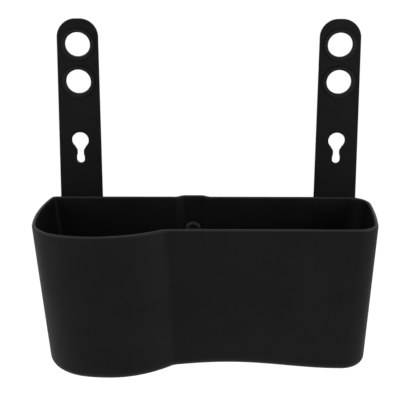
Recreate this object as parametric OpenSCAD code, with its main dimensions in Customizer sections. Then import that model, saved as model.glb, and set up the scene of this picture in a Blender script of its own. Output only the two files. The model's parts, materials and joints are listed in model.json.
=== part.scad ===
// Hanging caddy: a drafted bin with a round cup pocket at its left and a straight
// trough at its right, carried on studs by two upright straps with ring holes and keyholes.
// Millimetres, +Z up. The front faces -Y. The origin is at the centre of the whole
// object's footprint, on the plane that the bin's base stands on.

/* [Bin] */
// Width of the bin at its rim
bin_w = 264.5; // [250:0.5:280]
// Height of the bin from its base to its rim
bin_h = 117; // [105:1:125]
// Depth of the straight trough at the rim
trough_d = 83; // [80:1:90]
// Depth of the cup pocket at the rim, which bulges forward of the trough
cup_d = 100; // [98:1:104]
// Thickness of every wall and of the floor
wall = 3; // [2.5:0.1:3.5]
// How much further in the left side is at the base than at the rim
left_draft = 11; // [6:0.5:13]
// How much further in the right side is at the base than at the rim
right_draft = 7; // [4:0.5:10]
// How much further back the front is at the base than at the rim
front_draft = 3; // [2:0.5:7]
// Rise of the shallow relief arch under the trough
arch_rise = 5.4; // [3:0.2:7]

/* [Cup pocket] */
// Distance of the cup's foremost point from the bin's middle, to the left
cup_offset = 83.5; // [80:0.5:86]
// Radius of the cup's broad front at the rim
cup_front_r = 90; // [85:1:95]
// Radius of the cup's left front corner at the rim
cup_corner_r = 32; // [28:1:36]
// Radius of the hollow blend from the cup into the trough
blend_r = 15; // [12:1:18]

/* [Back channel] */
// Centre of the upright channel pressed into the back wall
channel_x = -10; // [-12:1:-8]
// Width of the channel, with both of its slopes
channel_w = 29; // [26:1:32]
// How far the channel stands out behind the back wall
channel_d = 4; // [3:0.1:4]

/* [Straps] */
// Centre of the left strap
left_strap_x = -100; // [-102:0.1:-98]
// Centre of the right strap
right_strap_x = 104.4; // [103:0.1:106]
// Width of a strap at its top
strap_top_w = 32; // [30:0.5:33]
// Width of a strap at its lower end
strap_foot_w = 35; // [33:0.5:36]
// Thickness of a strap
strap_t = 3.5; // [3.5:0.1:5]
// Height of a strap's top above the rim
strap_rise = 143.4; // [142:0.2:150]
// Radius of the ring holes
ring_r = 9.7; // [9:0.1:10.4]
// Height of the upper ring holes above the rim
ring_rise = 123.4; // [121:0.2:124]
// Distance between the two ring holes of a strap
ring_pitch = 29.4; // [28:0.2:32]
// Radius of the round entry of a keyhole
entry_r = 6.6; // [6:0.1:6.8]
// Height of the uppermost round entry above the rim
entry_rise = 46.2; // [44:0.2:48]
// Distance from one keyhole to the next
keyhole_pitch = 53.8; // [51:0.2:55]
// Distance from a round entry down to its seat
seat_drop = 15.8; // [14.5:0.1:16.5]
// Radius of the seat
seat_r = 3.1; // [3:0.1:3.3]
// How far the seat is drawn out upward, into the neck
seat_slot = 2.2; // [0:0.1:3]

/* [Hidden] */
$fn = 64;

// Plan of the bin
cup_shift = 9.5;             // the cup's foremost point moves inward by this much at the base
cup_front_draft = 6;         // the cup's front radius shrinks by this much at the base
cup_corner_growth = 6;       // its corner radius grows by this much at the base
blend_sharpening = 9;        // the blend into the trough shrinks by this much at the base
left_bow_r = 180;            // the left side is bowed by this radius
left_bow_y = -54;            // and is widest here, from the back wall
right_bow_r = 340;           // the right side is bowed by this radius
right_bow_y = -34;           // and is widest here
front_corner_r = 16;
front_corner_growth = 3;     // the trough's front corner grows by this much at the base
rear_right_r = 19;
rear_left_r = 5;
rear_left_growth = 12;       // the left rear corner grows by this much at the base
base_r = 7;                  // rounding of the outer bottom edge
channel_slope = 8;           // width of each side slope of the channel
arch_x = 18;
arch_span = 176;

// Straps: they lie behind the back wall, and the studs hold them
gap = 0.3;                   // clearance on each face of a strap
strap_front = gap;
strap_back = strap_front + strap_t;
strap_end_r = 14.5;          // rounding of a strap's two ends
collar_r = 12.7;
collar_t = 1.4;
collar_edge = 0.8;
funnel_turn = 43;            // half of the angle that a funnel takes out of its entry's wall
neck_w = 5;
foot_margin = 13;            // strap left below its lowest seat
keyholes = 3;
shank_r = 2;
stud_play = 0.1;             // between a shank and the bottom of its seat
root_r = 3;
root_t = 1.5;                // depth of a stud's root in the back wall
stud_head_r = 5.8;
stud_head_t = 2.4;

// Centre button and the keeper on its rear end
button_rise = -28.2;         // height of the button from the rim
button_r = 6.5;
button_t = 2.4;
button_dimple_r = 3.3;
button_shank_r = 2.5;
keeper_r = 6;
keeper_t = 2.5;

strap_top = bin_h + strap_rise;
lowest_seat = bin_h + entry_rise - (keyholes - 1) * keyhole_pitch - seat_drop;
strap_foot = lowest_seat - foot_margin;
rest_drop = seat_drop + seat_r - shank_r - stud_play;  // from a round entry down to its stud
rear = strap_back + gap + stud_head_t;
to_centre = (cup_d - rear) / 2;

function lerp(a, b, s) = a + (b - a) * s;
function smooth(u) = let (v = min(max(u, 0), 1)) v * v * (3 - 2 * v);
function polar(r, a) = [r * cos(a), r * sin(a)];
function arc(centre, r, from, to, steps) =
    [for (i = [1:steps]) centre + polar(r, lerp(from, to, i / steps))];

// The lower crossing of two circles, where the second one lies to the left of the first
function meeting(first, first_r, second, second_r) =
    let (
        apart = norm(second - first),
        way = (second - first) / apart,
        along = (first_r * first_r - second_r * second_r + apart * apart) / (2 * apart)
    )
    first + way * along + [-way[1], way[0]] * sqrt(first_r * first_r - along * along);

// Height of a circle above its centre at x
function circle_y(r, x) = sqrt(max(0, r * r - x * x));
function bearing(from, to) = let (d = to - from) (atan2(d[1], d[0]) + 360) % 360;

// How far the channel stands out behind the back wall at x
function channel(x) =
    channel_d * smooth((channel_w / 2 - abs(x - channel_x)) / channel_slope);

// Height of the relief arch under the bin at x
function arch(x) =
    abs(x - arch_x) > arch_span / 2 ? 0 : arch_rise * pow(cos(180 * (x - arch_x) / arch_span), 2);

// Plan of the bin at the height share s, set in by t from the outer face:
// the front edge from the leftmost point to the rightmost one.
function front_edge(s, t) =
    let (
        left = -bin_w / 2 + left_draft * (1 - s) + t,
        right = bin_w / 2 - right_draft * (1 - s) - t,
        trough_y = -trough_d + front_draft * (1 - s) + t,
        front_r = cup_front_r - cup_front_draft * (1 - s),
        corner_r = cup_corner_r + cup_corner_growth * (1 - s),
        cup = [-cup_offset + cup_shift * (1 - s), -cup_d + front_draft * (1 - s) + front_r],
        left_bow = [left + left_bow_r - t, left_bow_y],
        right_bow = [right - right_bow_r + t, right_bow_y],
        corner = meeting(left_bow, left_bow_r - corner_r, cup, front_r - corner_r),
        hollow_r = blend_r - blend_sharpening * (1 - s) + t,
        hollow_y = trough_y - hollow_r,
        hollow = [cup[0] + sqrt(pow(front_r - t + hollow_r, 2) - pow(cup[1] - hollow_y, 2)), hollow_y],
        end_r = front_corner_r + front_corner_growth * (1 - s) - t,
        end_y = trough_y + end_r,
        end = [right_bow[0] + circle_y(right_bow_r - t - end_r, end_y - right_bow_y), end_y],
        side_turn = bearing(left_bow, corner),
        cup_turn = bearing(cup, corner),
        to_hollow = bearing(cup, hollow),
        to_end = bearing(right_bow, end),
        channel_end = channel_x + channel_w / 2
    )
    concat(
        [[left, left_bow_y]],
        arc(left_bow, left_bow_r - t, 180, side_turn, 2),
        arc(corner, corner_r - t, side_turn, cup_turn, 8),
        arc(cup, front_r - t, cup_turn, to_hollow, 9),
        arc(hollow, hollow_r, to_hollow - 180, 90, 4),
        [for (i = [1:12]) [lerp(hollow[0], channel_end, i / 12), trough_y]],
        [for (i = [1:9]) [lerp(channel_end, end[0], i / 9), trough_y]],
        arc(end, end_r, 270, to_end, 7),
        arc(right_bow, right_bow_r - t, to_end, 360, 4)
    );

// The back edge at x, for the same height share s and inset t: the bowed left side, the left
// corner, the flat back with its channel, the right corner and the bowed right side.
function back_y(x, s, t, left, right) =
    let (
        left_bow = left_bow_r - t,
        left_bow_x = left + left_bow,
        left_r = max(rear_left_r + rear_left_growth * (1 - s) - t, 1),
        left_x = left_bow_x - circle_y(left_bow - left_r, left_bow_y + t + left_r),
        left_part = left_bow_x - (left_bow_x - left_x) * left_bow / (left_bow - left_r),
        right_bow = right_bow_r - t,
        right_bow_x = right - right_bow,
        right_r = rear_right_r - t,
        right_x = right_bow_x + circle_y(right_bow - right_r, right_bow_y + t + right_r),
        right_part = right_bow_x + (right_x - right_bow_x) * right_bow / (right_bow - right_r)
    )
    x < left_part ? left_bow_y + circle_y(left_bow, x - left_bow_x) :
    x < left_x ? circle_y(left_r, x - left_x) - left_r - t :
    x > right_part ? right_bow_y + circle_y(right_bow, x - right_bow_x) :
    x > right_x ? circle_y(right_r, x - right_x) - right_r - t :
    channel(x) - t;

// One closed ring of the bin's surface at height z and inset t. The height rises
// with the relief arch at the base and is level at the rim.
function ring(z, t) =
    let (
        s = z / bin_h,
        front = front_edge(s, t),
        last = len(front) - 1,
        left = front[0][0],
        right = front[last][0],
        plan = concat(front, [for (i = [last - 1:-1:1])
            [front[i][0], back_y(front[i][0], s, t, left, right)]])
    )
    [for (p = plan) [p[0], p[1], z + arch(p[0]) * (1 - s)]];

// Profile of the wall as [height, inset]: the rounded bottom edge, the outer face,
// the full-round rim, the inner face and the rounded inner bottom edge.
lip = wall / 2;
profile = concat(
    [for (a = [0:30:90]) [base_r * (1 - cos(a)), base_r * (1 - sin(a))]],
    [for (a = [0:45:180]) [bin_h - lip + lip * sin(a), lip * (1 - cos(a))]],
    [for (a = [90:-30:0]) [wall + base_r * (1 - cos(a)), wall + base_r * (1 - sin(a))]]
);

// Closed skin through the rings, with a strip of flat pieces across each end
module bin_shell() {
    rings = [for (p = profile) ring(p[0], p[1])];
    count = len(rings[0]);
    half = count / 2;
    top = len(rings) - 1;
    walls = [for (k = [0:top - 1], i = [0:count - 1])
        let (a = k * count + i, b = k * count + (i + 1) % count)
        each [[a, a + count, b + count], [a, b + count, b]]];
    base = [for (i = [0:half - 1])
        let (a = i, b = i + 1, c = count - i - 1, d = (count - i) % count)
        each (i == 0 ? [[a, b, c]] : i == half - 1 ? [[a, b, d]] : [[a, b, c], [a, c, d]])];
    floor_start = top * count;
    floor_faces = [for (f = base) [floor_start + f[2], floor_start + f[1], floor_start + f[0]]];
    polyhedron([for (r = rings) each r], concat(walls, base, floor_faces), convexity = 6);
}

// Cylinder whose axis runs along Y from y0 to y1
module across(x, z, r, y0, y1) {
    translate([x, y1, z])
        rotate([90, 0, 0])
            cylinder(r = r, h = y1 - y0);
}

// Turned piece on a Y axis; its profile's points are [radius, distance behind the back wall]
module turned(x, z, points) {
    translate([x, 0, z])
        rotate([-90, 0, 0])
            rotate_extrude()
                polygon(points);
}

function stud_z(row) = bin_h + entry_rise - row * keyhole_pitch - rest_drop;

module bin() {
    color("#1b1b1c")
        translate([0, to_centre, 0])
            difference() {
                bin_shell();
                for (x = [left_strap_x, right_strap_x], row = [1, 2])
                    across(x, stud_z(row), root_r, -root_t, 1);
                across(channel_x, bin_h + button_rise, button_shank_r, -wall - 1, channel_d + 1);
            }
}

// Outline of a strap from its foot to its top, tapering upward
module strap_outline() {
    top_x = strap_top_w / 2 - strap_end_r;
    foot_x = strap_foot_w / 2 - strap_end_r;
    polygon([
        [-strap_foot_w / 2, strap_foot + strap_end_r],
        [-foot_x, strap_foot],
        [foot_x, strap_foot],
        [strap_foot_w / 2, strap_foot + strap_end_r],
        [strap_top_w / 2, strap_top - strap_end_r],
        [top_x, strap_top],
        [-top_x, strap_top],
        [-strap_top_w / 2, strap_top - strap_end_r]
    ]);
    for (side = [-1, 1]) {
        translate([side * top_x, strap_top - strap_end_r])
            circle(r = strap_end_r);
        translate([side * foot_x, strap_foot + strap_end_r])
            circle(r = strap_end_r);
    }
}

// Keyhole through a strap: round entry, funnel, narrow neck and drawn-out seat
module keyhole(z) {
    seat_z = z - seat_drop;
    slot_z = seat_z + seat_slot;
    funnel_x = entry_r * sin(funnel_turn);
    funnel_z = z - entry_r * cos(funnel_turn);
    neck_z = z - entry_r * 1.25;
    across(0, z, entry_r, strap_front - 1, strap_back + 1);
    across(0, seat_z, seat_r, strap_front - 1, strap_back + 1);
    across(0, slot_z, seat_r, strap_front - 1, strap_back + 1);
    translate([0, strap_back + 1, 0])
        rotate([90, 0, 0])
            linear_extrude(height = strap_t + 2) {
                polygon([
                    [-neck_w / 2, slot_z],
                    [neck_w / 2, slot_z],
                    [neck_w / 2, neck_z],
                    [funnel_x, funnel_z],
                    [-funnel_x, funnel_z],
                    [-neck_w / 2, neck_z]
                ]);
                translate([-seat_r, seat_z])
                    square([2 * seat_r, seat_slot]);
            }
}

module strap(x) {
    rings_z = [bin_h + ring_rise, bin_h + ring_rise - ring_pitch];
    color("#202021")
        translate([x, to_centre, 0])
            difference() {
                union() {
                    translate([0, strap_back, 0])
                        rotate([90, 0, 0])
                            linear_extrude(height = strap_t)
                                strap_outline();
                    for (z = rings_z)
                        turned(0, z, [
                            [0, strap_front + 1],
                            [0, strap_front - collar_t],
                            [collar_r - collar_edge, strap_front - collar_t],
                            [collar_r, strap_front - collar_t + collar_edge],
                            [collar_r, strap_front + 1]
                        ]);
                }
                for (z = rings_z)
                    across(0, z, ring_r, strap_front - collar_t - 1, strap_back + 1);
                for (row = [0:keyholes - 1])
                    keyhole(bin_h + entry_rise - row * keyhole_pitch);
            }
}

// Stud: a root set into the back wall, a shank through the strap and a domed head
module stud(x, row) {
    shank_end = strap_back + gap;
    dome = 1.2;
    color("#232324")
        translate([0, to_centre, 0])
            turned(x, stud_z(row), [
                [0, -root_t],
                [root_r, -root_t],
                [root_r, 0],
                [shank_r, 0],
                [shank_r, shank_end],
                [stud_head_r, shank_end],
                [stud_head_r, shank_end + stud_head_t - dome],
                [stud_head_r - dome, shank_end + stud_head_t],
                [0, shank_end + stud_head_t]
            ]);
}

// Dimpled button inside the bin, with a shank through the channel's wall
module centre_button() {
    inner = channel_d - wall;
    edge = 0.8;
    color("#262627")
        translate([0, to_centre, 0])
            turned(channel_x, bin_h + button_rise, [
                [0, inner - button_t / 3],
                [button_dimple_r, inner - button_t / 3],
                [button_dimple_r + edge, inner - button_t],
                [button_r - edge, inner - button_t],
                [button_r, inner - button_t + edge],
                [button_r, inner],
                [button_shank_r, inner],
                [button_shank_r, channel_d + keeper_t - edge],
                [0, channel_d + keeper_t - edge]
            ]);
}

// Keeper pressed on the button's rear end, against the back of the channel
module centre_keeper() {
    edge = 0.8;
    color("#232324")
        translate([0, to_centre, 0])
            difference() {
                turned(channel_x, bin_h + button_rise, [
                    [0, channel_d],
                    [keeper_r, channel_d],
                    [keeper_r, channel_d + keeper_t - edge],
                    [keeper_r - edge, channel_d + keeper_t],
                    [0, channel_d + keeper_t]
                ]);
                across(channel_x, bin_h + button_rise, button_shank_r,
                       channel_d - 1, channel_d + keeper_t - edge);
            }
}

bin();
strap(left_strap_x);  // left_strap
strap(right_strap_x);  // right_strap
stud(left_strap_x, 1);  // left_upper_stud
stud(left_strap_x, 2);  // left_lower_stud
stud(right_strap_x, 1);  // right_upper_stud
stud(right_strap_x, 2);  // right_lower_stud
centre_button();
centre_keeper();
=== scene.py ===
"""Looks of a hanging caddy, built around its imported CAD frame. Lengths are in metres."""

import json
import math

import bpy
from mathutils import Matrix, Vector
from mathutils.geometry import delaunay_2d_cdt


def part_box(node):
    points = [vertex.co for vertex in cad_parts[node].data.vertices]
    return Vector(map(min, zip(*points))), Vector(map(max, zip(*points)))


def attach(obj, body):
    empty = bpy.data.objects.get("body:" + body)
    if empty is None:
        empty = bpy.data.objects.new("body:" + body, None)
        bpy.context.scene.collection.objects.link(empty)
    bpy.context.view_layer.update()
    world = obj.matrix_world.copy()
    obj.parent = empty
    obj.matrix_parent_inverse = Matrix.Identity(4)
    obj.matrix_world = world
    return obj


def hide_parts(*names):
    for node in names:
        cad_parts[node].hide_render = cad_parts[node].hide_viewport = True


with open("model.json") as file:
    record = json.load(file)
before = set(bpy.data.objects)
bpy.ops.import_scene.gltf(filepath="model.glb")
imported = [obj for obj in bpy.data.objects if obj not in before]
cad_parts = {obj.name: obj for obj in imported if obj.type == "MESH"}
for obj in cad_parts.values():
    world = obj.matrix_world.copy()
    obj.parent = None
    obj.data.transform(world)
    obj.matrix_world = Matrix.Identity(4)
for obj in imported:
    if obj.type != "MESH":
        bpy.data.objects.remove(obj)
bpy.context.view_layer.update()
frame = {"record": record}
MOUNTS = {m["name"]: m for m in frame["record"]["mounts"]}
MM = 0.001


# ---------------------------------------------------------------- small helpers

def lerp(a, b, share):
    return a + (b - a) * share


def arc(centre, radius, start, end, steps):
    """Points along an arc after its first one; the angles are in degrees."""
    points = []
    for i in range(1, steps + 1):
        angle = math.radians(lerp(start, end, i / steps))
        points.append((centre[0] + radius * math.cos(angle), centre[1] + radius * math.sin(angle)))
    return points


def bearing(start, end):
    return math.degrees(math.atan2(end[1] - start[1], end[0] - start[0])) % 360


def circle_y(radius, x):
    return math.sqrt(max(0, radius ** 2 - x ** 2))


def rounded(corners, steps=6, closed=True):
    """A path through (x, y, radius) corners, each turned into an arc where its radius isn't 0."""
    points = []
    count = len(corners)
    for i, (x, y, radius) in enumerate(corners):
        if radius == 0 or (not closed and i in (0, count - 1)):
            points.append((x, y))
            continue
        here = Vector((x, y))
        to_last = (Vector(corners[i - 1][:2]) - here).normalized()
        to_next = (Vector(corners[(i + 1) % count][:2]) - here).normalized()
        half = to_last.angle(to_next) / 2
        reach = radius / math.tan(half)
        centre = here + (to_last + to_next).normalized() * radius / math.sin(half)
        first = here + to_last * reach - centre
        last = here + to_next * reach - centre
        sweep = math.degrees(math.atan2(first.x * last.y - first.y * last.x, first.dot(last)))
        start = math.degrees(math.atan2(first.y, first.x))
        points.append(tuple(centre + first))
        points += arc(centre, radius, start, start + sweep, steps)
    return points


def mesh_piece(name, points, faces, body, replaced):
    """A smooth mesh that rides on a body and stands for a CAD node."""
    mesh = bpy.data.meshes.new(name)
    mesh.from_pydata([tuple(p) for p in points], [], faces)
    mesh.validate()
    mesh.shade_smooth()
    piece = bpy.data.objects.new(name, mesh)
    bpy.context.scene.collection.objects.link(piece)
    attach(piece, body)
    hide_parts(replaced)
    return piece


# ---------------------------------------------------------------- the bin

BIN_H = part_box("bin")[1].z
WALL = 3 * MM
CHANNEL_D = 4 * MM
STRAP_STANDOFF = 3.8 * MM            # from the back wall to the straps' rear faces
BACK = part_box("left_strap")[1].y - STRAP_STANDOFF   # rear face of the back wall, beside the channel
BIN_W = 264.5 * MM
TROUGH_D = 83 * MM
CUP_D = 100 * MM
CUP_OFFSET = 83.5 * MM
CUP_SHIFT = 9.5 * MM
CUP_FRONT_R = 90 * MM
CUP_FRONT_DRAFT = 6 * MM
CUP_CORNER_R = 32 * MM
CUP_CORNER_GROWTH = 6 * MM
BLEND_R = 15 * MM
BLEND_SHARPENING = 9 * MM
LEFT_DRAFT = 11 * MM
RIGHT_DRAFT = 7 * MM
FRONT_DRAFT = 3 * MM
LEFT_BOW_R = 180 * MM
LEFT_BOW_Y = -54 * MM
RIGHT_BOW_R = 340 * MM
RIGHT_BOW_Y = -34 * MM
FRONT_CORNER_R = 16 * MM
FRONT_CORNER_GROWTH = 3 * MM
REAR_RIGHT_R = 19 * MM
REAR_LEFT_R = 5 * MM
REAR_LEFT_GROWTH = 12 * MM
BASE_R = 7 * MM
CHANNEL_X = (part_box("centre_button")[0].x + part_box("centre_button")[1].x) / 2
CHANNEL_W = 29 * MM
CHANNEL_SLOPE = 8 * MM
ARCH_RISE = 5.4 * MM
ARCH_X = 18 * MM
ARCH_SPAN = 176 * MM
RIM_OUTER_R = 1.9 * MM               # the rim is rounded more on its outer side
CROSS_ROWS = 14                      # rows of faces across the base and the floor


def meeting(first, first_r, second, second_r):
    """The lower crossing of two circles, where the second one lies to the left of the first."""
    way = Vector(second) - Vector(first)
    along = (first_r ** 2 - second_r ** 2 + way.length_squared) / (2 * way.length)
    aside = math.sqrt(first_r ** 2 - along ** 2)
    way.normalize()
    return tuple(Vector(first) + way * along + Vector((-way.y, way.x)) * aside)


def channel(x):
    """How far the channel stands out behind the back wall at x."""
    share = (CHANNEL_W / 2 - abs(x - CHANNEL_X)) / CHANNEL_SLOPE
    share = min(max(share, 0), 1)
    return CHANNEL_D * share * share * (3 - 2 * share)


def arch(x):
    """Height of the relief arch under the bin at x."""
    if abs(x - ARCH_X) > ARCH_SPAN / 2:
        return 0
    return ARCH_RISE * math.cos(math.pi * (x - ARCH_X) / ARCH_SPAN) ** 2


def bin_plan(share, inset):
    """Front and back edges of the bin's plan, from left to right, with the same x in pairs.
    share is the height's share of the whole, and inset the distance in from the outer face."""
    left = -BIN_W / 2 + LEFT_DRAFT * (1 - share) + inset
    right = BIN_W / 2 - RIGHT_DRAFT * (1 - share) - inset
    trough_y = -TROUGH_D + FRONT_DRAFT * (1 - share) + inset
    front_r = CUP_FRONT_R - CUP_FRONT_DRAFT * (1 - share)
    corner_r = CUP_CORNER_R + CUP_CORNER_GROWTH * (1 - share)
    cup = (-CUP_OFFSET + CUP_SHIFT * (1 - share), -CUP_D + FRONT_DRAFT * (1 - share) + front_r)
    left_bow_r = LEFT_BOW_R - inset
    right_bow_r = RIGHT_BOW_R - inset
    left_bow = (left + left_bow_r, LEFT_BOW_Y)
    right_bow = (right - right_bow_r, RIGHT_BOW_Y)
    corner = meeting(left_bow, LEFT_BOW_R - corner_r, cup, front_r - corner_r)
    hollow_r = BLEND_R - BLEND_SHARPENING * (1 - share) + inset
    hollow_y = trough_y - hollow_r
    hollow_x = cup[0] + math.sqrt((front_r - inset + hollow_r) ** 2 - (cup[1] - hollow_y) ** 2)
    end_r = FRONT_CORNER_R + FRONT_CORNER_GROWTH * (1 - share) - inset
    end_y = trough_y + end_r
    end = (right_bow[0] + circle_y(right_bow_r - end_r, end_y - RIGHT_BOW_Y), end_y)
    side_turn = bearing(left_bow, corner)
    cup_turn = bearing(cup, corner)
    to_hollow = bearing(cup, (hollow_x, hollow_y))
    to_end = bearing(right_bow, end)
    channel_end = CHANNEL_X + CHANNEL_W / 2

    front = [(left, LEFT_BOW_Y)]
    front += arc(left_bow, left_bow_r, 180, side_turn, 12)
    front += arc(corner, corner_r - inset, side_turn, cup_turn, 36)
    front += arc(cup, front_r - inset, cup_turn, to_hollow, 40)
    front += arc((hollow_x, hollow_y), hollow_r, to_hollow - 180, 90, 12)
    front += [(lerp(hollow_x, channel_end, i / 32), trough_y) for i in range(1, 33)]
    front += [(lerp(channel_end, end[0], i / 44), trough_y) for i in range(1, 45)]
    front += arc(end, end_r, 270, to_end, 24)
    front += arc(right_bow, right_bow_r, to_end, 360, 12)

    left_r = max(REAR_LEFT_R + REAR_LEFT_GROWTH * (1 - share) - inset, MM)
    right_r = REAR_RIGHT_R - inset
    left_x = left_bow[0] - circle_y(left_bow_r - left_r, LEFT_BOW_Y + inset + left_r)
    right_x = right_bow[0] + circle_y(right_bow_r - right_r, RIGHT_BOW_Y + inset + right_r)
    left_part = left_bow[0] - (left_bow[0] - left_x) * left_bow_r / (left_bow_r - left_r)
    right_part = right_bow[0] + (right_x - right_bow[0]) * right_bow_r / (right_bow_r - right_r)

    def back_y(x):
        if x < left_part:
            return LEFT_BOW_Y + circle_y(left_bow_r, x - left_bow[0])
        if x < left_x:
            return circle_y(left_r, x - left_x) - left_r - inset
        if x > right_part:
            return RIGHT_BOW_Y + circle_y(right_bow_r, x - right_bow[0])
        if x > right_x:
            return circle_y(right_r, x - right_x) - right_r - inset
        return channel(x) - inset

    return front, [front[0]] + [(x, back_y(x)) for x, _ in front[1:-1]] + [front[-1]]


def bin_profile():
    """The wall's section as (height, inset), from the base's edge over the rim to the floor's edge."""
    rim_inner_r = WALL - RIM_OUTER_R
    section = []
    for i in range(9):
        turn = math.radians(90 * i / 8)
        section.append((BASE_R * (1 - math.cos(turn)), BASE_R * (1 - math.sin(turn))))
    section += [(lerp(BASE_R, BIN_H - RIM_OUTER_R, i / 22), 0) for i in range(1, 23)]
    for i in range(1, 9):
        turn = math.radians(90 * i / 8)
        section.append((BIN_H - RIM_OUTER_R * (1 - math.sin(turn)), RIM_OUTER_R * (1 - math.cos(turn))))
    for i in range(1, 7):
        turn = math.radians(90 * i / 6)
        height = BIN_H - rim_inner_r * (1 - math.cos(turn))
        section.append((height, RIM_OUTER_R + rim_inner_r * math.sin(turn)))
    low = WALL + BASE_R
    section += [(lerp(BIN_H - rim_inner_r, low, i / 22), WALL) for i in range(1, 23)]
    for i in range(1, 9):
        turn = math.radians(90 * i / 8)
        section.append((low - BASE_R * math.sin(turn), WALL + BASE_R * (1 - math.cos(turn))))
    return section


def build_bin():
    points = []
    faces = []
    section = bin_profile()
    for height, inset in section:
        share = height / BIN_H
        front, back = bin_plan(share, inset)
        for x, y in front + back[-2:0:-1]:
            points.append((x, y + BACK, height + arch(x) * (1 - share)))
    columns = len(front)
    count = len(points) // len(section)
    for k in range(len(section) - 1):
        for i in range(count):
            a = k * count + i
            b = k * count + (i + 1) % count
            faces.append((a, b, b + count, a + count))

    def close(level, outward):
        """Closes one end with rows of faces that run across from the front edge to the back edge."""
        start = level * count
        column = [start] * (CROSS_ROWS + 1)
        for i in range(1, columns):
            last_column = column
            if i == columns - 1:
                column = [start + i] * (CROSS_ROWS + 1)
            else:
                low = start + i
                high = start + count - i
                column = [low]
                for r in range(1, CROSS_ROWS):
                    column.append(len(points))
                    y = lerp(points[low][1], points[high][1], r / CROSS_ROWS)
                    points.append((points[low][0], y, points[low][2]))
                column.append(high)
            for r in range(CROSS_ROWS):
                corners = [last_column[r], last_column[r + 1], column[r + 1], column[r]]
                corners = list(dict.fromkeys(corners))
                faces.append(tuple(corners if outward else reversed(corners)))

    close(0, True)
    close(len(section) - 1, False)
    return mesh_piece("bin_moulding", points, faces, "bin_body", "bin")


# ---------------------------------------------------------------- turned pieces

def turned_piece(name, node, corners, body, steps=64, arc_steps=6):
    """A closed solid turned about a Y axis through the node's middle. Each corner of its profile
    is (radius, distance behind the back wall, rounding); the first and the last lie on the axis."""
    low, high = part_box(node)
    x = (low.x + high.x) / 2
    z = (low.z + high.z) / 2
    profile = rounded(corners, arc_steps, closed=False)
    points = [(x, BACK + profile[0][1], z)]
    inner = profile[1:-1]
    for radius, y in inner:
        for i in range(steps):
            angle = 2 * math.pi * i / steps
            points.append((x + radius * math.cos(angle), BACK + y, z + radius * math.sin(angle)))
    points.append((x, BACK + profile[-1][1], z))
    faces = []
    for i in range(steps):
        j = (i + 1) % steps
        faces.append((0, 1 + i, 1 + j))
        for k in range(len(inner) - 1):
            a = 1 + k * steps
            faces.append((a + i, a + steps + i, a + steps + j, a + j))
        a = 1 + (len(inner) - 1) * steps
        faces.append((a + i, len(points) - 1, a + j))
    return mesh_piece(name, points, faces, body, node)


STRAP_T = 3.5 * MM
STRAP_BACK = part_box("left_strap")[1].y - BACK   # measured from the back wall's rear face
STRAP_FRONT = STRAP_BACK - STRAP_T
STRAP_GAP = STRAP_FRONT


ROOT_R = 3 * MM                      # a stud's root in the back wall
STUD_SHANK_R = 2 * MM
HEAD_EDGE = 1.1 * MM                 # height of a stud head's dome
HEAD_FLAT_SHARE = 0.55               # how much of a stud's head is flat
DIMPLE_R = 2.7 * MM                  # the hollow in the button's face
DIMPLE_RIM_R = 3.2 * MM
DIMPLE_SINK = 0.6 * MM               # how far the hollow's floor lies behind the button's seat
BUTTON_SHANK_R = 2.5 * MM
SOCKET_R = 2.52 * MM                 # the keeper's socket, just wider than the button's shank
KEEPER_CROWN = 1.2 * MM
KEEPER_EDGE = 0.9 * MM


def build_stud(name):
    low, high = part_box(name)
    head_r = (high.x - low.x) / 2
    shank_end = STRAP_BACK + STRAP_GAP
    root = low.y - BACK
    tip = high.y - BACK
    corners = [
        (0, root, 0), (ROOT_R, root, 0.2 * MM), (ROOT_R, 0, 0.2 * MM), (STUD_SHANK_R, 0, 0.1 * MM),
        (STUD_SHANK_R, shank_end, 0.3 * MM), (head_r, shank_end, 0.5 * MM),
        (head_r, tip - HEAD_EDGE, 0.9 * MM), (head_r * HEAD_FLAT_SHARE, tip, 2 * MM), (0, tip, 0),
    ]
    return turned_piece(name + "_moulding", name, corners, "bin_body")


def build_button():
    """The dimpled button: a rolled ring round a hollow, on a shank through the channel's wall."""
    low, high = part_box("centre_button")
    radius = (high.x - low.x) / 2
    face = low.y - BACK
    seat = CHANNEL_D - WALL
    tip = high.y - BACK
    corners = [
        (0, seat - DIMPLE_SINK, 0), (DIMPLE_R, seat - DIMPLE_SINK, 0.7 * MM),
        (DIMPLE_RIM_R, face, 0.8 * MM), (radius, face, 1.7 * MM), (radius, seat, 0.1 * MM),
        (BUTTON_SHANK_R, seat, 0.1 * MM), (BUTTON_SHANK_R, tip, 0.3 * MM), (0, tip, 0),
    ]
    return turned_piece("centre_button_moulding", "centre_button", corners, "bin_body")


def build_keeper():
    """A small cap with a socket in its front, pressed on the button's rear end."""
    low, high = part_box("centre_keeper")
    radius = (high.x - low.x) / 2
    seat = low.y - BACK
    tip = high.y - BACK
    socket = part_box("centre_button")[1].y - BACK
    corners = [
        (0, socket, 0), (SOCKET_R, socket, 0.1 * MM), (SOCKET_R, seat, 0.1 * MM),
        (radius, seat, 0.3 * MM), (radius, tip - KEEPER_EDGE, 0.6 * MM),
        (radius - KEEPER_CROWN, tip, 1.2 * MM), (0, tip, 0),
    ]
    return turned_piece("centre_keeper_moulding", "centre_keeper", corners, "bin_body")


# ---------------------------------------------------------------- the straps

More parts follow.
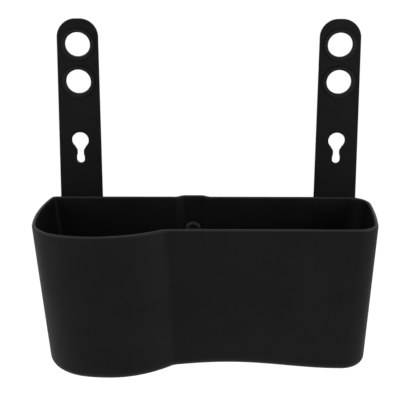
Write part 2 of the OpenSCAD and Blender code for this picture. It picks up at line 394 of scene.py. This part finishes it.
STRAP_TOP_W = 32 * MM
STRAP_END_R = 14.5 * MM
EDGE_R = 0.9 * MM                    # rounding of every edge of a strap
COLLAR_R = 12.7 * MM
COLLAR_T = 1.4 * MM
COLLAR_FOOT = 0.3 * MM               # hollow rounding where a collar meets its strap
COLLAR_SKIRT = 1.6 * MM              # strap face round a collar, up to where the flat face begins
COLLAR_LEAN = 0.2 * MM               # how far a collar's side leans in towards its crown
CROWN_OUTER_R = 0.5 * MM
CROWN_INNER_R = 0.8 * MM
HOLE_REAR_R = 0.7 * MM               # rounding of a ring hole's rear edge
KEYHOLE_PITCH = 53.8 * MM
KEYHOLES = 3
SEAT_DROP = 15.8 * MM
SEAT_R = 3.1 * MM
SEAT_SLOT = 2.2 * MM                 # the seat is drawn out upward by this much
NECK_W = 5 * MM
FUNNEL_TURN = 43                     # half of the angle that a funnel takes out, in degrees
NECK_SHARE = 1.25                    # where the neck begins, in radii below the entry's middle
KEY_EDGE_R = 0.5 * MM


def edge_section(radius):
    """How an edge goes over from the front face to the back face, as (distance in, y)."""
    section = []
    for i in range(6):
        turn = math.radians(90 * i / 5)
        section.append((radius * (1 - math.sin(turn)), STRAP_FRONT + radius * (1 - math.cos(turn))))
    for i in range(6):
        turn = math.radians(90 * i / 5)
        section.append((radius * (1 - math.cos(turn)), STRAP_BACK - radius * (1 - math.sin(turn))))
    return section


def collar_section(hole_r):
    """A ring hole's section as (distance from the hole's wall, y): the collar's hollow foot, its
    side, its rounded crown, the hole's wall and the rounded rear edge."""
    front = STRAP_FRONT - COLLAR_T
    ridge = COLLAR_R - hole_r
    corners = [
        (ridge + COLLAR_SKIRT, STRAP_FRONT, 0), (ridge, STRAP_FRONT, COLLAR_FOOT),
        (ridge - COLLAR_LEAN, front, CROWN_OUTER_R), (0, front, CROWN_INNER_R),
        (0, STRAP_BACK, HOLE_REAR_R), (HOLE_REAR_R + 0.2 * MM, STRAP_BACK, 0),
    ]
    return rounded(corners, 6, closed=False)


def keyhole_outline(x, z, entry_r):
    """Round entry, funnel, neck and seat as one closed path, anticlockwise from the front."""
    seat_turn = math.degrees(math.asin(NECK_W / 2 / SEAT_R))
    neck_z = z - entry_r * NECK_SHARE
    seat_z = z - SEAT_DROP
    slot_z = seat_z + SEAT_SLOT
    neck_end_z = slot_z + SEAT_R * math.cos(math.radians(seat_turn))
    mouth = math.radians(FUNNEL_TURN)
    path = [(x + entry_r * math.sin(mouth), z - entry_r * math.cos(mouth))]
    path += arc((x, z), entry_r, 270 + FUNNEL_TURN, 630 - FUNNEL_TURN, 60)
    path += [(x - NECK_W / 2, neck_z), (x - NECK_W / 2, neck_end_z)]
    path += arc((x, slot_z), SEAT_R, 90 + seat_turn, 180, 6)
    path += [(x - SEAT_R, seat_z)]
    path += arc((x, seat_z), SEAT_R, 180, 360, 24)
    path += [(x + SEAT_R, slot_z)]
    path += arc((x, slot_z), SEAT_R, 0, 90 - seat_turn, 6)
    path += [(x + NECK_W / 2, neck_z)]
    return path


def offset(path, distance):
    """A closed path moved to its left by distance, with mitred corners."""
    moved = []
    count = len(path)
    for i in range(count):
        before = Vector(path[i]) - Vector(path[i - 1])
        after = Vector(path[(i + 1) % count]) - Vector(path[i])
        left = Vector((-before.y, before.x)).normalized() + Vector((-after.y, after.x)).normalized()
        left.normalize()
        lean = max(left.dot(Vector((-before.y, before.x)).normalized()), 0.5)
        moved.append(tuple(Vector(path[i]) + left * distance / lean))
    return moved


def build_strap(side):
    node = side + "_strap"
    low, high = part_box(node)
    x = (low.x + high.x) / 2
    half_foot = (high.x - low.x) / 2
    half_top = STRAP_TOP_W / 2
    outline = rounded([
        (x - half_foot, low.z, STRAP_END_R), (x + half_foot, low.z, STRAP_END_R),
        (x + half_top, high.z, STRAP_END_R), (x - half_top, high.z, STRAP_END_R)], 28)
    contours = [(outline, edge_section(EDGE_R), 1)]
    entry = MOUNTS[side + "_open_keyhole"]
    for row in range(KEYHOLES):
        z = entry["pos_m"][2] - row * KEYHOLE_PITCH
        keyhole = keyhole_outline(x, z, entry["dims"]["r_mm"] * MM)
        contours.append((keyhole, edge_section(KEY_EDGE_R), -1))
    for level in ("upper", "lower"):
        hole = MOUNTS[side + "_" + level + "_ring_hole"]
        radius = hole["dims"]["r_mm"] * MM
        circle = arc((hole["pos_m"][0], hole["pos_m"][2]), radius, 0, 360, 96)
        contours.append((circle, collar_section(radius), -1))

    points = []
    faces = []
    front_loops = []
    back_loops = []
    for path, section, sign in contours:
        start = len(points)
        count = len(path)
        for distance, y in section:
            for px, pz in offset(path, sign * distance):
                points.append((px, BACK + y, pz))
        for k in range(len(section) - 1):
            for i in range(count):
                a = start + k * count + i
                b = start + k * count + (i + 1) % count
                quad = (a, a + count, b + count, b)
                faces.append(quad if sign > 0 else tuple(reversed(quad)))
        front_loops.append(list(range(start, start + count)))
        last = start + (len(section) - 1) * count
        back_loops.append(list(range(last, last + count)))
    for loops, facing in ((front_loops, 1), (back_loops, -1)):
        flat = [[Vector((points[i][0], points[i][2])) for i in loop] for loop in loops]
        order = [i for loop in loops for i in loop]
        for triangle in tessellate(flat):
            corners = [order[i] for i in triangle]
            a, b, c = (Vector(points[i]) for i in corners)
            if ((b - a).cross(c - a)).y * facing > 0:
                corners.reverse()
            faces.append(tuple(corners))
    body = side + "_strap_body"
    return mesh_piece(side + "_strap_moulding", points, faces, body, node)


def tessellate(loops):
    """Triangles over the first loop less the others; the corners count through all the loops."""
    corners = [corner for loop in loops for corner in loop]
    outlines = []
    for loop in loops:
        start = outlines[-1][-1] + 1 if outlines else 0
        outlines.append(list(range(start, start + len(loop))))
    inside_triangles = 1
    found = delaunay_2d_cdt(corners, [], outlines, inside_triangles, 1e-7)
    triangles, corner_sources, outline_sources = found[2], found[3], found[5]
    return [
        [corner_sources[i][0] for i in triangle]
        for triangle, sources in zip(triangles, outline_sources)
        if list(sources) == [0]
    ]


# ---------------------------------------------------------------- materials

def new_node(tree, kind, **values):
    node = tree.nodes.new(kind)
    for name, value in values.items():
        if name in node.inputs:
            node.inputs[name].default_value = value
        else:
            setattr(node, name, value)
    return node


def moulded(name, dark, light, roughness, grain, depth, specular, highlight_band=None):
    """Matt moulded plastic: a fine etched grain, a slow waviness of the wall and faint cloudy handling
    marks. The last argument is an axis with the places along it where a painted highlight begins
    and is full, and a colour: there the plastic is painted that paler colour and made smoother."""
    material = bpy.data.materials.new(name)
    material.use_nodes = True
    tree = material.node_tree
    shader = tree.nodes["Principled BSDF"]
    shader.inputs["Specular IOR Level"].default_value = specular
    place = new_node(tree, "ShaderNodeTexCoord").outputs["Object"]

    def noise(scale, detail, rough=0.5):
        node = new_node(tree, "ShaderNodeTexNoise", Scale=scale, Detail=detail, Roughness=rough)
        tree.links.new(place, node.inputs["Vector"])
        return node.outputs["Fac"]

    def ramp(source, low, high, low_value, high_value):
        node = new_node(tree, "ShaderNodeMapRange")
        node.inputs["From Min"].default_value = low
        node.inputs["From Max"].default_value = high
        node.inputs["To Min"].default_value = low_value
        node.inputs["To Max"].default_value = high_value
        tree.links.new(source, node.inputs["Value"])
        return node.outputs["Result"]

    def blend(factor, first, second):
        node = new_node(tree, "ShaderNodeMix", data_type="RGBA")
        tree.links.new(factor, node.inputs["Factor"])
        for socket, value in (("A", first), ("B", second)):
            if isinstance(value, tuple):
                node.inputs[socket].default_value = (*value, 1)
            else:
                tree.links.new(value, node.inputs[socket])
        return node.outputs["Result"]

    def added(first, second):
        node = new_node(tree, "ShaderNodeMath", operation="ADD")
        tree.links.new(first, node.inputs[0])
        tree.links.new(second, node.inputs[1])
        return node.outputs["Value"]

    speckle = noise(1 / grain, 2)
    broad_marks = ramp(noise(22, 4, 0.6), 0.35, 0.7, 0, 0.6)
    small_marks = ramp(noise(600, 3, 0.6), 0.35, 0.65, 0, 0.4)
    marks = added(broad_marks, small_marks)
    colour = blend(marks, dark, light)
    finish = ramp(noise(60, 5, 0.65), 0.3, 0.7, roughness - 0.06, roughness + 0.06)
    # painted highlight: a paler colour band along one axis, where the plastic is also made smoother
    if highlight_band is not None:
        axis, begin, full, highlight_colour = highlight_band
        parts = new_node(tree, "ShaderNodeSeparateXYZ")
        tree.links.new(place, parts.inputs["Vector"])
        colour = blend(ramp(parts.outputs[axis], begin, full, 0, 1), colour, highlight_colour)
        finish = added(finish, ramp(parts.outputs[axis], begin, full, 0, -0.1))
    tree.links.new(colour, shader.inputs["Base Color"])
    tree.links.new(finish, shader.inputs["Roughness"])

    waves = new_node(tree, "ShaderNodeBump", Strength=0.25, Distance=0.25 * MM)
    tree.links.new(noise(45, 2), waves.inputs["Height"])
    etched = new_node(tree, "ShaderNodeBump", Strength=0.6, Distance=depth)
    tree.links.new(speckle, etched.inputs["Height"])
    tree.links.new(waves.outputs["Normal"], etched.inputs["Normal"])
    tree.links.new(etched.outputs["Normal"], shader.inputs["Normal"])
    return material


def paint(piece, material):
    piece.data.materials.clear()
    piece.data.materials.append(material)


# ---------------------------------------------------------------- making

DARK = (0.0012, 0.0012, 0.0013)
PALE = (0.0029, 0.0029, 0.0031)
# painted highlights: paler colours for the rim's top and for the collar crowns
RIM_HIGHLIGHT_COLOUR = (0.0125, 0.0125, 0.013)
COLLAR_HIGHLIGHT_COLOUR = (0.0045, 0.0045, 0.0047)
STUD_DARK = (0.005, 0.005, 0.005)
STUD_PALE = (0.008, 0.008, 0.008)
BUTTON_DARK = (0.006, 0.006, 0.006)
BUTTON_PALE = (0.009, 0.009, 0.009)
FINE_GRAIN = 0.3 * MM
FINE_DEPTH = 0.02 * MM

bin_piece = build_bin()
straps = [build_strap(side) for side in ("left", "right")]
studs = [
    build_stud(side + "_" + level + "_stud")
    for side in ("left", "right")
    for level in ("upper", "lower")
]
button = build_button()
keeper = build_keeper()

# painted highlight: the rim's top is painted a paler colour and made smoother
rim_highlight_band = ("Z", BIN_H - RIM_OUTER_R * 0.8, BIN_H - RIM_OUTER_R * 0.2, RIM_HIGHLIGHT_COLOUR)
paint(bin_piece, moulded("bin_plastic", DARK, PALE, 0.56, 0.35 * MM, 0.07 * MM, 0.085, rim_highlight_band))
strap_face = BACK + STRAP_FRONT
# painted highlight: the raised collar crowns are painted a paler colour and made smoother
collar_highlight_band = ("Y", strap_face - COLLAR_T * 0.6, strap_face - COLLAR_T, COLLAR_HIGHLIGHT_COLOUR)
strap_material = moulded("strap_rubber", DARK, PALE, 0.62, 0.4 * MM, 0.06 * MM, 0.08, collar_highlight_band)
for strap in straps:
    paint(strap, strap_material)
stud_material = moulded("stud_plastic", STUD_DARK, STUD_PALE, 0.45, FINE_GRAIN, FINE_DEPTH, 0.2)
for stud in studs + [keeper]:
    paint(stud, stud_material)
paint(button, moulded("button_plastic", BUTTON_DARK, BUTTON_PALE, 0.45, FINE_GRAIN, FINE_DEPTH, 0.2))

for piece in straps:
    piece.modifiers.new("flat_faces", "WEIGHTED_NORMAL").weight = 100


# ---------------------------------------------------------------- stage, light and camera

FLOOR_REACH = 6                      # half of the floor's side
FLOOR_Z = -0.35                      # the caddy hangs this far above the floor
EYE = (-5.1 * MM, BACK - 0.924, BIN_H + 0.297)


def stage_floor():
    mesh = bpy.data.meshes.new("floor")
    corners = [(x * FLOOR_REACH, y * FLOOR_REACH, 0) for x, y in ((-1, -1), (1, -1), (1, 1), (-1, 1))]
    mesh.from_pydata(corners, [], [(0, 1, 2, 3)])
    floor = bpy.data.objects.new("floor", mesh)
    floor.location.z = FLOOR_Z
    bpy.context.scene.collection.objects.link(floor)
    material = bpy.data.materials.new("floor_paper")
    material.use_nodes = True
    shader = material.node_tree.nodes["Principled BSDF"]
    shader.inputs["Base Color"].default_value = (0.96, 0.96, 0.96, 1)
    shader.inputs["Roughness"].default_value = 0.9
    shader.inputs["Specular IOR Level"].default_value = 0.1
    paint(floor, material)


def softbox(name, place, aim, size, power):
    light = bpy.data.lights.new(name, "AREA")
    light.shape = "RECTANGLE"
    light.size, light.size_y = size
    light.energy = power
    lamp = bpy.data.objects.new(name, light)
    lamp.location = place
    lamp.rotation_euler = (Vector(aim) - Vector(place)).to_track_quat("-Z", "Y").to_euler()
    bpy.context.scene.collection.objects.link(lamp)


def studio():
    world = bpy.data.worlds.new("studio")
    bpy.context.scene.world = world
    world.use_nodes = True
    background = world.node_tree.nodes["Background"]
    background.inputs["Color"].default_value = (1, 1, 1, 1)
    background.inputs["Strength"].default_value = 1.06
    middle = (0, 0, 0.1)
    softbox("left_box", (-0.5, -0.25, 0.35), middle, (0.25, 0.3), 1.5)
    softbox("right_box", (0.55, -0.35, 0.25), middle, (0.25, 0.3), 3)
    softbox("low_left_box", (-1.1, -0.6, -0.2), middle, (0.5, 0.5), 3)
    bpy.context.scene.view_settings.view_transform = "Standard"


def camera():
    """A long lens at the front, above the rim, looking slightly down."""
    pitch = math.radians(18.01)
    roll = math.radians(-0.12)
    view = bpy.data.cameras.new("camera")
    view.lens = 108
    view.sensor_width = 36
    eye = bpy.data.objects.new("camera", view)
    eye.location = EYE
    eye.rotation_euler = (math.pi / 2 - pitch, roll, 0)
    bpy.context.scene.collection.objects.link(eye)
    bpy.context.scene.camera = eye


stage_floor()
studio()
camera()
